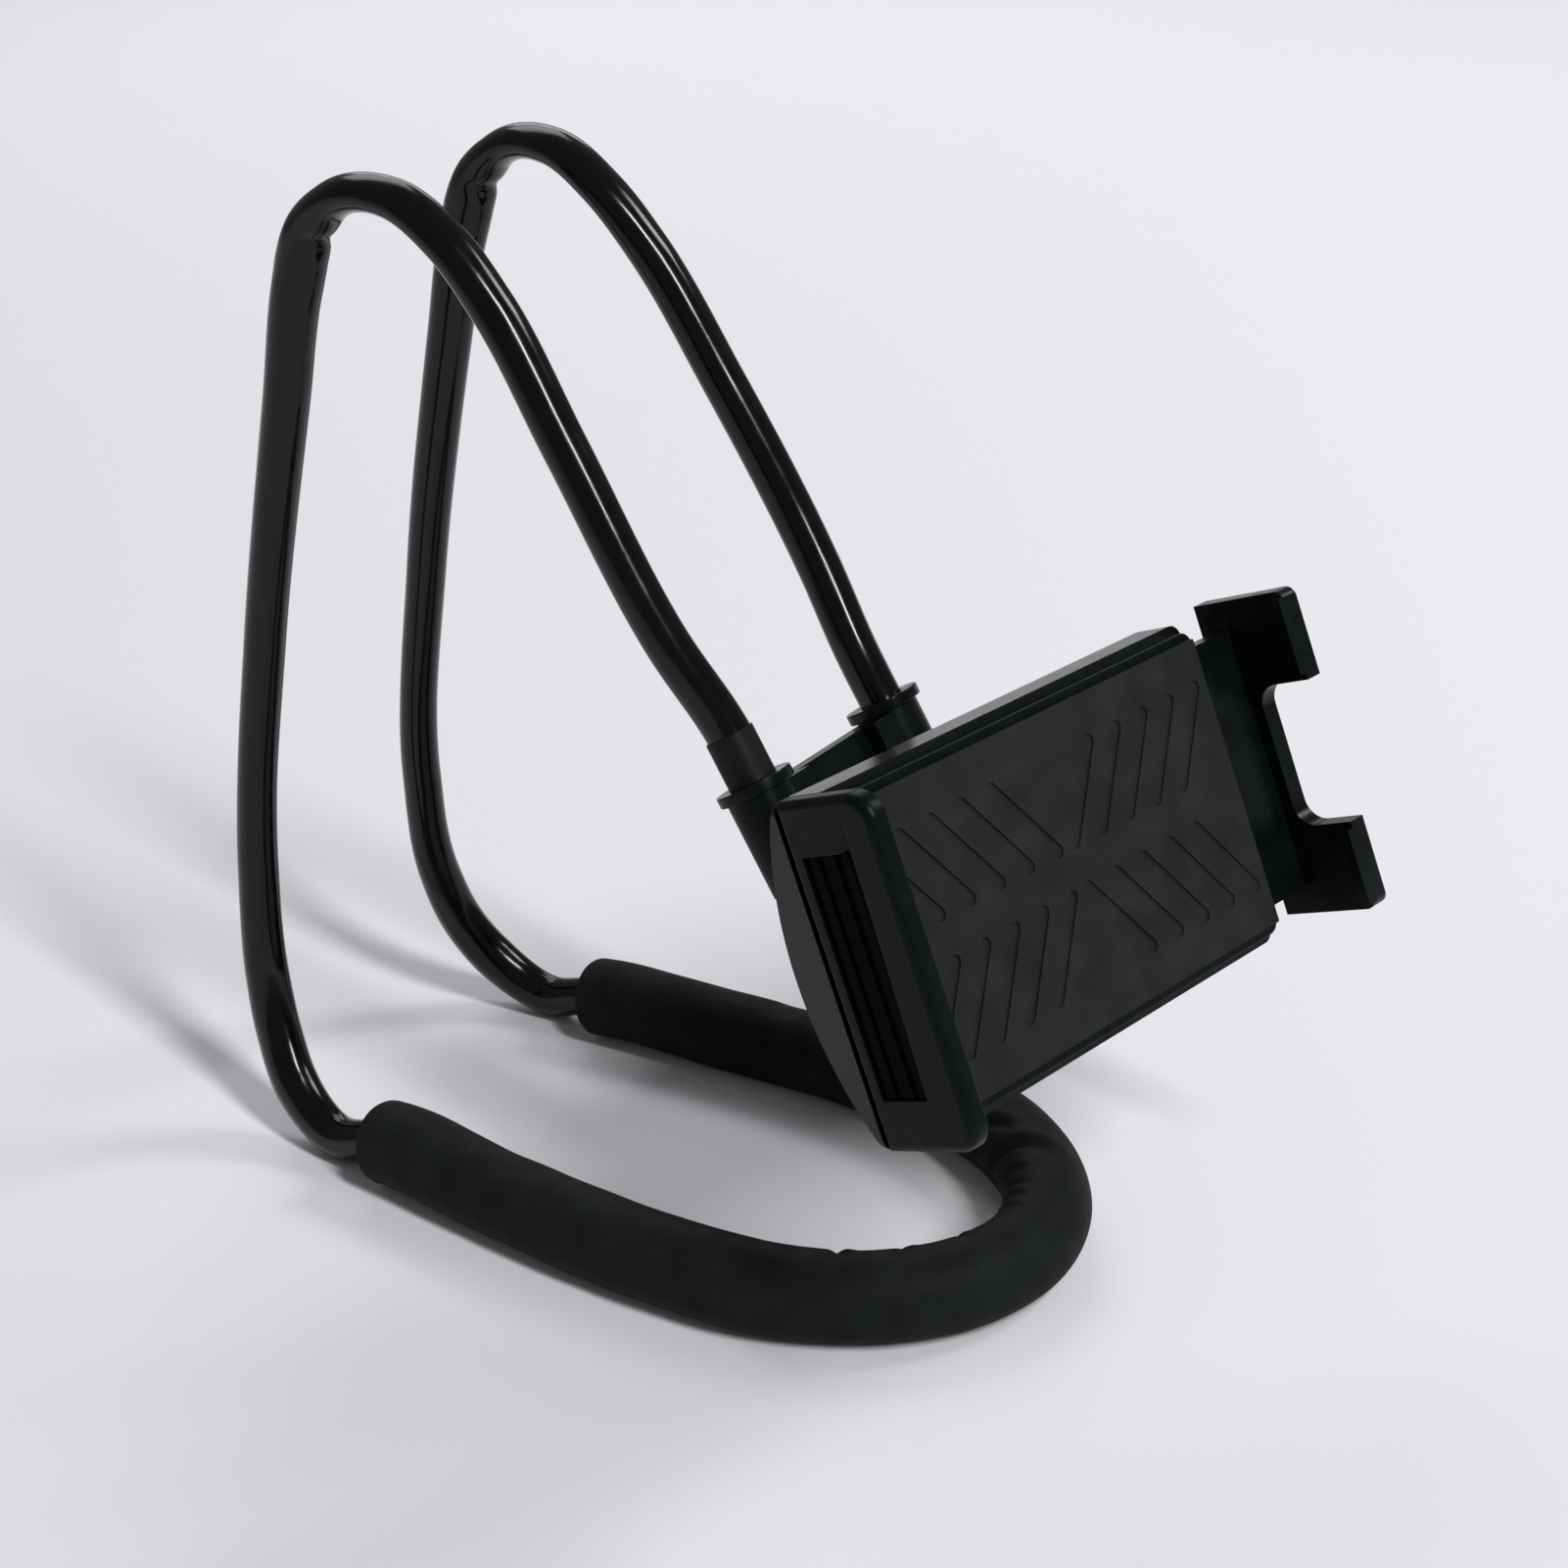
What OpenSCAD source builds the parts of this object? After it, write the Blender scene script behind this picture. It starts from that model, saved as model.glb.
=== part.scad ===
// Neck phone holder: a gooseneck bent into a stand, with a sliding cradle on a ball joint.
// Lengths are in millimetres. The closed end of the neck loop lies on the floor at the
// origin, +X is to the right, -Y is the front and +Z is up.

/* [Gooseneck] */
// Outer diameter of the plastic sheath
tube_d = 10; // [8:0.5:11]
// Diameter of the soft aluminium wire in the sheath
wire_d = 6; // [4:0.5:7]
// Half the distance between the two legs of the neck loop
base_half_w = 45.5; // [40:0.5:60]
// Half the distance between the two arms at the bridge
arm_half_w = 24.5; // [22:0.5:30]
// Reach of the loop's rounded closed end
bend_reach = 62; // [50:1:80]
// Depth of the stand from the closed end to the back bends
stand_depth = 204; // [190:1:240]
// Height of the centre line at the top bends
stand_h = 242; // [225:1:280]

/* [Foam sleeve] */
// Outer diameter of the foam
foam_d = 20.6; // [18:0.2:26]
// Depth of the flat that the foam rests on
foam_flat = 0.5; // [0.3:0.1:1]

/* [Bridge] */
// Distance of the socket mouths behind the closed end
mouth_y = 49; // [46:1:56]
// Height of the socket mouths
mouth_z = 123; // [118:1:135]
// Lean of the sockets from upright in degrees
socket_lean = 30; // [24:1:36]
// Depth of the sockets
socket_depth = 20; // [16:1:24]
// Wall round the sockets
socket_wall = 1.6; // [1.2:0.1:2.5]
// Thickness of the web between the sockets
web_t = 6.5; // [5:0.5:9]
// Thickness of the cover behind the web
bridge_cover_t = 2; // [1.5:0.1:3]
// Diameter of the collar flange on each socket
collar_d = 17.4; // [16:0.2:20]
// Thickness of the collar flange
collar_t = 2.5; // [1.5:0.1:4]
// Length of the sleeve round the end of the left arm
sleeve_l = 11; // [8:0.5:13]

/* [Ball joint] */
// Diameter of the ball
ball_d = 15; // [14:0.5:16]
// Diameter of the stem behind the ball
stem_d = 6; // [5:0.5:6.5]
// Distance of the ball in front of the arms
ball_reach = 22; // [21:1:28]
// Distance of the ball below the socket mouths
ball_drop = 39; // [36:1:44]
// Thickness of the nylon cap on the ball
liner_t = 0.6; // [0.5:0.1:0.8]
// Outer diameter of the ball seat
seat_d = 20; // [19:0.5:22]
// Wall of the threaded barrel round the seat
barrel_wall = 2; // [1.6:0.1:3]
// Outer diameter of the lock nut
nut_d = 30; // [29:0.5:34]

/* [Cradle] */
// Length of the fixed part of the cradle
cradle_l = 116; // [110:1:126]
// Height of the cradle and its jaws
cradle_h = 74; // [72:1:84]
// Rise of the bowed back
shell_bow = 10; // [8:0.5:12]
// Wall of the back shell
shell_wall = 2.2; // [1.6:0.1:3]
// Depth of the shell's rim in front of the jaws' back edges
rim_depth = 9.5; // [9:0.1:10]
// Turn of the cradle to the left in degrees
cradle_yaw = 10; // [0:1:14]
// Lean of the cradle in degrees
cradle_lean = 22; // [16:1:28]
// Thickness of the cover plate
cover_t = 2; // [1.5:0.1:3]
// Height of the cover plate
cover_h = 70; // [68:1:71]

/* [Grip pad] */
// Height of the rubber pad
pad_h = 66; // [60:1:68]
// Thickness of the rubber pad
pad_t = 1; // [0.8:0.1:2]
// Depth of the grip grooves
groove_depth = 0.5; // [0.3:0.1:0.7]
// Width of the grip grooves
groove_w = 3; // [2:0.5:4]

/* [Jaws] */
// Depth of the jaws from back to front
jaw_depth = 27; // [25:0.5:32]
// Thickness of the fixed jaw
fixed_jaw_t = 4.5; // [4:0.1:6]
// Thickness of the sliding jaw
jaw_t = 4.5; // [3.5:0.1:6]
// Gap between the cover and the sliding jaw at rest
jaw_out = 15.5; // [8:0.5:20]
// Height of each foot of the sliding jaw
foot_h = 20.5; // [18:0.5:24]
// Depth left behind the cut-out between the feet
cutout_floor = 12.5; // [11:0.5:15]
// Overhang of the lips on the feet
lip_reach = 1.8; // [1:0.1:3]
// Thickness of the tongue
tongue_t = 4; // [3:0.1:4.5]
// Height of the tongue
tongue_h = 61; // [56:1:63]
// Travel of the jaw outwards from rest
travel_out = 30; // [20:1:34]
// Travel of the jaw inwards from rest
travel_in = 15; // [7:0.5:15]

/* [Hidden] */

// Shared clearances
overrun = 1;
cover_gap = 0.5;
fit_gap = 0.05;
slide_gap = 0.3;
seat_gap = 0.2;
smooth_fn = 72;
small_fn = 36;

// Gooseneck route, as shares of the stand's sizes: spread from arm to leg, depth, height
tube_r = tube_d / 2;
wire_r = wire_d / 2;
foam_r = foam_d / 2;
foam_z = foam_r - foam_flat;
heel_gap = 0.7;
tube_sides = 12;
foam_sides = 16;
steps = 2;
half_turn = 90;
turn_step = 18;
leg_shares = [[0.96, 0.58], [0.81, 0.775]];
heel_shares = [[0.79, 0.86]];
rise_shares = [
    [0.67, 0.93, 0.055], [0.5, 0.97, 0.105], [0.38, 0.99, 0.165], [0.27, 0.99, 0.29],
    [0.19, 0.93, 0.545], [0.14, 0.845, 0.8], [0.14, 0.805, 0.91], [0.14, 0.775, 0.963],
    [0.13, 0.725, 0.996], [0.09, 0.655, 0.998], [0.07, 0.59, 0.965], [0.09, 0.535, 0.915]
];
// Last bend to the socket: spread, depth and height above the mouth
top_share = 0.655;
drop_shares = [[0.14, 0.5, 0.59], [0.14, 0.22, 0.255]];
straight_lead = 14;
tube_insert = socket_depth - seat_gap;
top_y = stand_depth * top_share;

// Bridge
ferrule_t = 0.6;
ferrule_l = 10;
socket_bore_r = tube_r + ferrule_t + 2 * fit_gap;
socket_r = socket_bore_r + socket_wall;
socket_floor = 2;
socket_tip = 5;
socket_tip_r = 4;
spigot_l = 6;
sleeve_t = 0.4;
block_w = 12;
block_front = 5.5;
web_front = 1.5;
web_back = web_t - web_front;
web_top = 0.5;
web_side = socket_depth - socket_wall;
boss_r = 10;
waist_share = 0.8;
toe_share = 0.5;
boss_front = 4;
bridge_inset = 2;
bridge_screw_r = 1.25;
bridge_screw_head_r = 2.2;
bridge_screw_head_t = 1.2;
bridge_screw_l = 6;
bridge_screw_drop = 8;
bridge_screw_spread = 14;
stud_tail_r = 3;
stud_tail_l = 6;
stud_collar_r = 6;
stud_collar_t = 1.5;
stud_screw_r = 1.5;
stud_screw_head_r = 2.8;
stud_screw_head_t = 1.6;
stud_screw_grip = 4;

// Ball joint, along the cradle's own axis
ball_r = ball_d / 2;
stem_r = stem_d / 2;
liner_r = ball_r + fit_gap + liner_t;
seat_inner_r = liner_r + fit_gap;
seat_r = seat_d / 2;
seat_front_wall = 1;
seat_front = seat_inner_r + seat_front_wall;
seat_split = 0.15;
ring_back = 3.8;
barrel_bore_r = seat_r + fit_gap;
barrel_r = barrel_bore_r + barrel_wall;
barrel_back = ring_back - seat_gap;
barrel_floor = 1.7;
nut_r = nut_d / 2;
nut_lip = 1.8;
nut_lip_r = 8.3;
nut_front = 3.3;
nut_back = ring_back + seat_gap + nut_lip;
nut_grooves = 12;
nut_groove_r = 2;
nut_groove_out = 1;
ball_y = mouth_y - ball_reach * cos(socket_lean) - ball_drop * sin(socket_lean);
ball_z = mouth_z + ball_reach * sin(socket_lean) - ball_drop * cos(socket_lean);

// Cradle, with y = 0 in the plane of the jaws' back edges
shell_to_ball = 4;
ball_set = shell_bow + shell_to_ball;
half_l = cradle_l / 2;
half_h = cradle_h / 2;
bow_r = (half_h * half_h + shell_bow * shell_bow) / (2 * shell_bow);
corner_r = 3;
cover_seat = rim_depth + cover_gap;
cover_front = cover_seat + cover_t;
pad_front = cover_front + pad_t;
pad_margin = 0.4;
plate_left = -half_l + fixed_jaw_t;
jaw_corner_r = 6;

// Slot in the fixed jaw and the rubber in it
slot_back = 4;
slot_w = 13;
slot_h = 51;
slot_depth = 2.2;
insert_t = 1.4;
ridge_r = 0.7;
ridge_shares = [0.3, 0.7];
strip_t = 1;
strip_h = 52;
strip_w = 9;

// Tongue, stops and friction spring
tongue_front = cover_seat - 2 * slide_gap;
tongue_back = tongue_front - tongue_t;
tongue_l = 82;
tongue_corner_r = 4;
post_r = 2.5;
post_x = 40;
post_z = 14;
left_post_x = 46;
left_post_z = 22;
stop_slot_gap = 0.1;
guide_t = 1.6;
spring_t = 0.4;
spring_w = 10;
spring_l = 24;
spring_rise = 3;
spring_x = 38;
spring_rib_t = 2;

// Screws through the shell's posts into the cover
cover_screw_r = 1.25;
cover_screw_head_r = 2.4;
cover_screw_head_t = 1.5;
cover_screw_bite = 1.2;

// Sliding jaw
jaw_back = 1.5;
foot_corner_r = 2.5;
cutout_r = 5;
lip_t = 2.2;
lip_margin = 1.5;
foot_pad_t = 1.2;
foot_pad_sink = 1;
foot_pad_w = 11.5;
foot_pad_h = 15;
foot_pad_front = 2.8;
foot_pad_side = 2.5;

// Grip grooves: a herringbone of slanted bars about a plain middle line
groove_pairs = 5;
groove_l = 22;
groove_lean = 35;
groove_pitch = 9;
groove_start = 9;
groove_rise = 14;

function unit(v) = v / norm(v);

function spread(share) = arm_half_w + share * (base_half_w - arm_half_w);

function socket_point(along) =
    [arm_half_w, mouth_y + along * sin(socket_lean), mouth_z + along * cos(socket_lean)];

// Half of the route, from the closed end of the loop to the bottom of the right socket
half_route = concat(
    [for (a = [0 : turn_step : half_turn])
        [base_half_w * sin(a), bend_reach * (1 - cos(a)), foam_z]],
    [for (s = leg_shares) [spread(s[0]), stand_depth * s[1], foam_z]],
    [for (s = heel_shares) [spread(s[0]), stand_depth * s[1], tube_r + heel_gap]],
    [for (s = rise_shares) [spread(s[0]), stand_depth * s[1], stand_h * s[2]]],
    [for (s = drop_shares)
        [spread(s[0]), mouth_y + s[1] * (top_y - mouth_y), mouth_z + s[2] * (stand_h - mouth_z)]],
    [for (along = [straight_lead, 0, -tube_insert]) socket_point(along)]
);
last_half = len(half_route) - 1;
foam_end = half_turn / turn_step + len(leg_shares);

// The whole route, mirrored to the left arm
route_points = concat(
    [for (i = [0 : last_half - 1]) let (p = half_route[last_half - i]) [-p[0], p[1], p[2]]],
    half_route
);

// Heading at a point: the two chords, the shorter one counting more
function heading(p, i) =
    i == 0 ? unit(p[1] - p[0]) :
    i == len(p) - 1 ? unit(p[i] - p[i - 1]) :
    let (a = p[i] - p[i - 1], b = p[i + 1] - p[i])
    unit(a / norm(a) * norm(b) + b / norm(b) * norm(a));

// Cubic through two points with their headings
function between(p, i, u) =
    let (l = norm(p[i + 1] - p[i]), v = 1 - u)
    p[i] * (1 + 2 * u) * v * v + heading(p, i) * l * u * v * v
    + p[i + 1] * u * u * (1 + 2 * v) - heading(p, i + 1) * l * u * u * v;

function smoothed(p) = concat(
    [for (i = [0 : len(p) - 2]) for (k = [0 : steps - 1]) between(p, i, k / steps)],
    [p[len(p) - 1]]
);

route = smoothed(route_points);
route_middle = (len(route) - 1) / 2;

// Directions across the route, carried along it without twist
function carried(path, first) = [
    for (i = 0, n = first; i < len(path);
        i = i + 1, n = i < len(path) ? unit(n - (n * heading(path, i)) * heading(path, i)) : n) n
];

route_across = carried(route, [1, 0, 0]);

// Level directions across the route, for the foam that lies on the floor
function level_across(path, i) = unit(cross(heading(path, i), [0, 0, 1]));

function ring(centre, across, along, r, sides) = [
    for (k = [0 : sides - 1])
        let (a = 360 * (k + 0.5) / sides, p = centre + r * (cos(a) * across + sin(a) * cross(across, along)))
        [p[0], p[1], max(0, p[2])]
];

// Triangles of the wall between rings, starting at point number base
function wall_faces(base, rings, sides, outward) = [
    for (i = [0 : rings - 2]) for (k = [0 : sides - 1])
        let (a = base + i * sides + k, b = base + i * sides + (k + 1) % sides, c = a + sides, d = b + sides)
        each outward ? [[a, b, c], [b, d, c]] : [[a, c, b], [b, c, d]]
];

// Ring-shaped end between an outer and an inner ring
function end_faces(outer, inner, sides, first) = [
    for (k = [0 : sides - 1])
        let (a = outer + k, b = outer + (k + 1) % sides, c = inner + k, d = inner + (k + 1) % sides)
        each first ? [[a, c, b], [b, c, d]] : [[a, b, c], [b, d, c]]
];

module swept_rod(centres, across, along, r, sides) {
    n = len(centres);
    points = [for (i = [0 : n - 1]) each ring(centres[i], across[i], along[i], r, sides)];
    first = [for (k = [sides - 1 : -1 : 0]) k];
    last = [for (k = [0 : sides - 1]) (n - 1) * sides + k];
    polyhedron(points, concat(wall_faces(0, n, sides, true), [first], [last]));
}

module swept_tube(centres, across, along, r_out, r_in, sides) {
    n = len(centres);
    outer = [for (i = [0 : n - 1]) each ring(centres[i], across[i], along[i], r_out, sides)];
    inner = [for (i = [0 : n - 1]) each ring(centres[i], across[i], along[i], r_in, sides)];
    polyhedron(concat(outer, inner), concat(
        wall_faces(0, n, sides, true),
        wall_faces(n * sides, n, sides, false),
        end_faces(0, n * sides, sides, true),
        end_faces((n - 1) * sides, (2 * n - 1) * sides, sides, false)
    ));
}

route_along = [for (i = [0 : len(route) - 1]) heading(route, i)];

module core_wire() {
    color("silver")
        swept_rod(route, route_across, route_along, wire_r, tube_sides);
}

module tube_sheath() {
    color([0.02, 0.02, 0.02])
        swept_tube(route, route_across, route_along, tube_r, wire_r + fit_gap, tube_sides);
}

module foam_sleeve() {
    span = [route_middle - foam_end * steps : route_middle + foam_end * steps];
    inner_r = (tube_r + fit_gap) / cos(180 / foam_sides);
    color([0.06, 0.06, 0.06])
        swept_tube(
            [for (i = span) route[i]],
            [for (i = span) level_across(route, i)],
            [for (i = span) route_along[i]],
            foam_r, inner_r, foam_sides
        );
}

// Places its children in the bridge's frame: z up along the arms, origin between the mouths
module at_bridge() {
    translate([0, mouth_y, mouth_z])
        rotate([-socket_lean, 0, 0])
            children();
}

module both_sockets() {
    for (side = [-1, 1])
        translate([side * arm_half_w, 0, 0])
            children();
}

// A round bar along y from y0 to y1
module bar_y(r, y0, y1, fn = small_fn) {
    translate([0, y0, 0])
        rotate([-90, 0, 0])
            cylinder(r = r, h = y1 - y0, $fn = fn);
}

module tube_z(r_out, r_in, z0, z1, fn = small_fn) {
    translate([0, 0, z0])
        difference() {
            cylinder(r = r_out, h = z1 - z0, $fn = fn);
            translate([0, 0, -overrun])
                cylinder(r = r_in, h = z1 - z0 + 2 * overrun, $fn = fn);
        }
}

module wire_ferrules() {
    color("goldenrod")
        at_bridge()
            both_sockets()
                tube_z(tube_r + fit_gap + ferrule_t, tube_r + fit_gap,
                    -socket_depth + seat_gap, -socket_depth + seat_gap + ferrule_l);
}

module socket_collars() {
    color([0.04, 0.04, 0.04])
        at_bridge()
            both_sockets() {
                tube_z(collar_d / 2, tube_r + fit_gap, 0, collar_t, smooth_fn);
                tube_z(socket_bore_r - fit_gap, tube_r + fit_gap, -spigot_l, overrun);
            }
}

module end_sleeve() {
    color([0.08, 0.09, 0.09])
        at_bridge()
            translate([-arm_half_w, 0, 0])
                tube_z(tube_r + fit_gap + sleeve_t, tube_r + fit_gap,
                    collar_t, collar_t + sleeve_l, smooth_fn);
}

// The bridge's web, narrowing from the sockets to the round boss behind the ball
module bridge_plate(inset, y0, y1) {
    side = arm_half_w - inset;
    boss = boss_r - inset;
    toe = -ball_drop - toe_share * boss;
    translate([0, y1, 0])
        rotate([90, 0, 0])
            linear_extrude(y1 - y0)
                polygon([
                    [-side, -web_top - inset], [side, -web_top - inset], [side, -web_side + inset],
                    [waist_share * boss, toe], [-waist_share * boss, toe], [-side, -web_side + inset]
                ]);
    translate([0, 0, -ball_drop])
        bar_y(boss, y0, y1, smooth_fn);
}

module at_bridge_screws() {
    for (side = [-1, 1])
        translate([side * bridge_screw_spread, 0, -bridge_screw_drop])
            children();
}

module bridge_body() {
    color([0.05, 0.05, 0.055])
        at_bridge()
            difference() {
                union() {
                    bridge_plate(0, -web_front, web_back);
                    both_sockets() {
                        translate([0, 0, -socket_depth - socket_floor])
                            cylinder(r = socket_r, h = socket_depth + socket_floor, $fn = smooth_fn);
                        translate([0, 0, -socket_depth - socket_floor - socket_tip])
                            cylinder(r1 = socket_tip_r, r2 = socket_r, h = socket_tip, $fn = smooth_fn);
                    }
                    for (side = [-1, 1])
                        translate([side * (arm_half_w - block_w / 2) - block_w / 2, -block_front, -web_side])
                            cube([block_w, block_front + web_back, web_side - web_top]);
                    translate([0, 0, -ball_drop])
                        bar_y(boss_r, -boss_front, web_back, smooth_fn);
                }
                both_sockets()
                    translate([0, 0, -socket_depth])
                        cylinder(r = socket_bore_r, h = socket_depth + overrun, $fn = smooth_fn);
                translate([0, 0, -ball_drop]) {
                    bar_y(stud_tail_r + fit_gap, -boss_front - overrun, -boss_front + stud_tail_l);
                    bar_y(stud_screw_r + fit_gap, -boss_front, web_back + overrun);
                }
                at_bridge_screws()
                    bar_y(bridge_screw_r + fit_gap, web_back - bridge_screw_l, web_back + overrun);
            }
}

module bridge_cover() {
    head_seat = web_back + bridge_cover_t - bridge_screw_head_t;
    color([0.05, 0.05, 0.055])
        at_bridge()
            difference() {
                union()
                    bridge_plate(bridge_inset, web_back, web_back + bridge_cover_t);
                both_sockets()
                    translate([0, 0, -socket_depth - socket_floor - socket_tip])
                        cylinder(r = socket_r + seat_gap, h = socket_depth + socket_floor + socket_tip + overrun,
                            $fn = smooth_fn);
                at_bridge_screws() {
                    bar_y(bridge_screw_r + fit_gap, 0, head_seat + overrun);
                    bar_y(bridge_screw_head_r + fit_gap, head_seat, web_back + bridge_cover_t + overrun);
                }
                translate([0, 0, -ball_drop])
                    bar_y(stud_screw_head_r + seat_gap, 0, web_back + bridge_cover_t + overrun);
            }
}

module bridge_screws() {
    head_seat = web_back + bridge_cover_t - bridge_screw_head_t;
    color("dimgray")
        at_bridge()
            at_bridge_screws() {
                bar_y(bridge_screw_r, web_back - bridge_screw_l + seat_gap, head_seat + overrun);
                bar_y(bridge_screw_head_r, head_seat, head_seat + bridge_screw_head_t);
            }
}

module ball_stud() {
    color("dimgray")
        at_bridge()
            translate([0, 0, -ball_drop])
                difference() {
                    union() {
                        translate([0, -ball_reach, 0])
                            sphere(r = ball_r, $fn = smooth_fn);
                        bar_y(stem_r, -ball_reach, -boss_front);
                        bar_y(stud_collar_r, -boss_front - stud_collar_t, -boss_front);
                        bar_y(stud_tail_r, -boss_front - overrun, -boss_front + stud_tail_l - seat_gap);
                    }
                    bar_y(stud_screw_r + fit_gap, -boss_front + stud_tail_l - stud_screw_grip, web_back);
                }
}

module stud_screw() {
    color("dimgray")
        at_bridge()
            translate([0, 0, -ball_drop]) {
                bar_y(stud_screw_r, -boss_front + stud_tail_l - stud_screw_grip + seat_gap, web_back + overrun);
                bar_y(stud_screw_head_r, web_back, web_back + stud_screw_head_t);
            }
}

// Places its children at the ball's centre, turned as the cradle stands: -y is its front
module at_ball() {
    translate([0, ball_y, ball_z])
        rotate([0, 0, -cradle_yaw])
            rotate([-cradle_lean, 0, 0])
                children();
}

// Places its children in the cradle's frame
module at_cradle() {
    at_ball()
        translate([0, -ball_set, 0])
            children();
}

module ball_liner() {
    color("whitesmoke")
        at_ball()
            rotate([90, 0, 0])
                rotate_extrude($fn = smooth_fn)
                    intersection() {
                        difference() {
                            circle(r = liner_r, $fn = smooth_fn);
                            circle(r = ball_r + fit_gap, $fn = smooth_fn);
                        }
                        translate([0, -ring_back])
                            square([liner_r + overrun, ring_back + liner_r + overrun]);
                    }
}

module seat_cup() {
    color("gray")
        at_ball()
            difference() {
                bar_y(seat_r, -seat_front, -seat_split, smooth_fn);
                sphere(r = seat_inner_r, $fn = smooth_fn);
            }
}

module seat_ring() {
    color("gray")
        at_ball()
            difference() {
                bar_y(seat_r, seat_split, ring_back, smooth_fn);
                sphere(r = seat_inner_r, $fn = smooth_fn);
            }
}

module lock_nut() {
    color([0.04, 0.04, 0.04])
        at_ball()
            difference() {
                bar_y(nut_r, -nut_front, nut_back, smooth_fn);
                bar_y(barrel_r + fit_gap, -nut_front - overrun, nut_back - nut_lip, smooth_fn);
                bar_y(nut_lip_r, 0, nut_back + overrun, smooth_fn);
                for (i = [0 : nut_grooves - 1])
                    rotate([0, i * 360 / nut_grooves, 0])
                        translate([nut_r + nut_groove_out, 0, 0])
                            bar_y(nut_groove_r, -nut_front - overrun, nut_back + overrun);
            }
}

// A bowed block with a round back, the cradle's outer or inner form
module bowed_block(x0, x1, h, back_r, back_y, front_y) {
    intersection() {
        translate([x0, 0, 0])
            translate([0, back_y - back_r, 0])
                rotate([0, 90, 0])
                    cylinder(r = back_r, h = x1 - x0, $fn = smooth_fn);
        translate([x0, -front_y, -h / 2])
            cube([x1 - x0, front_y + back_y + overrun, h]);
    }
}

// A flat plate with round corners, seen from the front, from y = -front to y = -back
module front_plate(x0, x1, h, r, back, front) {
    translate([0, -back, 0])
        rotate([90, 0, 0])
            linear_extrude(front - back) {
                translate([x0 + r, -h / 2])
                    square([x1 - x0 - 2 * r, h]);
                translate([x0, -h / 2 + r])
                    square([x1 - x0, h - 2 * r]);
                for (x = [x0 + r, x1 - r])
                    for (z = [-h / 2 + r, h / 2 - r])
                        translate([x, z])
                            circle(r = r, $fn = small_fn);
            }
}

module at_left_posts() {
    for (z = [-left_post_z, left_post_z])
        translate([-left_post_x, 0, z])
            children();
}

module at_stop_posts() {
    for (z = [-post_z, post_z])
        translate([post_x, 0, z])
            children();
}

module at_posts() {
    at_left_posts() children();
    at_stop_posts() children();
}

// Back of the shell at a height above its middle line
function bow_at(z) = shell_bow - bow_r + sqrt(bow_r * bow_r - z * z);

module back_shell() {
    inner_h = cradle_h - 2 * shell_wall;
    barrel_front = seat_front + seat_gap / 2;
    color([0.05, 0.05, 0.055])
        at_cradle()
            difference() {
                union() {
                    difference() {
                        intersection() {
                            bowed_block(-half_l, half_l, cradle_h, bow_r, shell_bow, rim_depth);
                            front_plate(-half_l, half_l, cradle_h, corner_r, -shell_bow - overrun,
                                rim_depth + overrun);
                        }
                        bowed_block(-half_l + shell_wall, half_l - shell_wall, inner_h,
                            bow_r - shell_wall, shell_bow - shell_wall, rim_depth + overrun);
                        translate([half_l - shell_wall - overrun, -tongue_front - slide_gap,
                            -tongue_h / 2 - slide_gap])
                            cube([shell_wall + 2 * overrun, tongue_t + 2 * slide_gap,
                                tongue_h + 2 * slide_gap]);
                        translate([-half_l - overrun, -rim_depth - overrun, -half_h - overrun])
                            cube([fixed_jaw_t + overrun + slide_gap, rim_depth + overrun,
                                cradle_h + 2 * overrun]);
                    }
                    intersection() {
                        bowed_block(-half_l, half_l, cradle_h, bow_r, shell_bow, rim_depth);
                        union() {
                            at_left_posts()
                                bar_y(post_r, -tongue_back, shell_bow);
                            at_stop_posts()
                                bar_y(post_r, -cover_seat, shell_bow);
                            for (side = [-1, 1])
                                translate([-half_l + fixed_jaw_t + slide_gap,
                                    -tongue_front,
                                    side * (tongue_h / 2 + slide_gap + guide_t / 2) - guide_t / 2])
                                    cube([cradle_l - fixed_jaw_t - slide_gap,
                                        tongue_front + shell_bow, guide_t]);
                            for (side = [-1, 1])
                                translate([spring_x + side * spring_l / 2 - spring_rib_t / 2,
                                    -tongue_back + spring_rise + spring_t + fit_gap, -spring_w / 2])
                                    cube([spring_rib_t, tongue_back + shell_bow, spring_w]);
                        }
                    }
                    translate([0, ball_set, 0])
                        bar_y(barrel_r, -barrel_front - barrel_floor, barrel_back, smooth_fn);
                }
                translate([0, ball_set, 0])
                    bar_y(barrel_bore_r, -barrel_front, barrel_back + overrun, smooth_fn);
                at_posts() {
                    bar_y(cover_screw_r + fit_gap, -rim_depth - overrun, shell_bow + overrun);
                    bar_y(cover_screw_head_r + fit_gap, shell_bow - shell_wall - cover_screw_head_t,
                        shell_bow + overrun);
                }
            }
}

// The fixed jaw's wall seen from the side, as a sheet from x0 to x1
module side_sheet(x0, x1, back, front, h, r) {
    translate([x0, 0, 0])
        rotate([90, 0, 90])
            linear_extrude(x1 - x0) {
                translate([-front + r, -h / 2])
                    square([front - back - r, h]);
                translate([-front, -h / 2 + r])
                    square([front - back, h - 2 * r]);
                for (z = [-h / 2 + r, h / 2 - r])
                    translate([-front + r, z])
                        circle(r = r, $fn = small_fn);
            }
}

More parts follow.
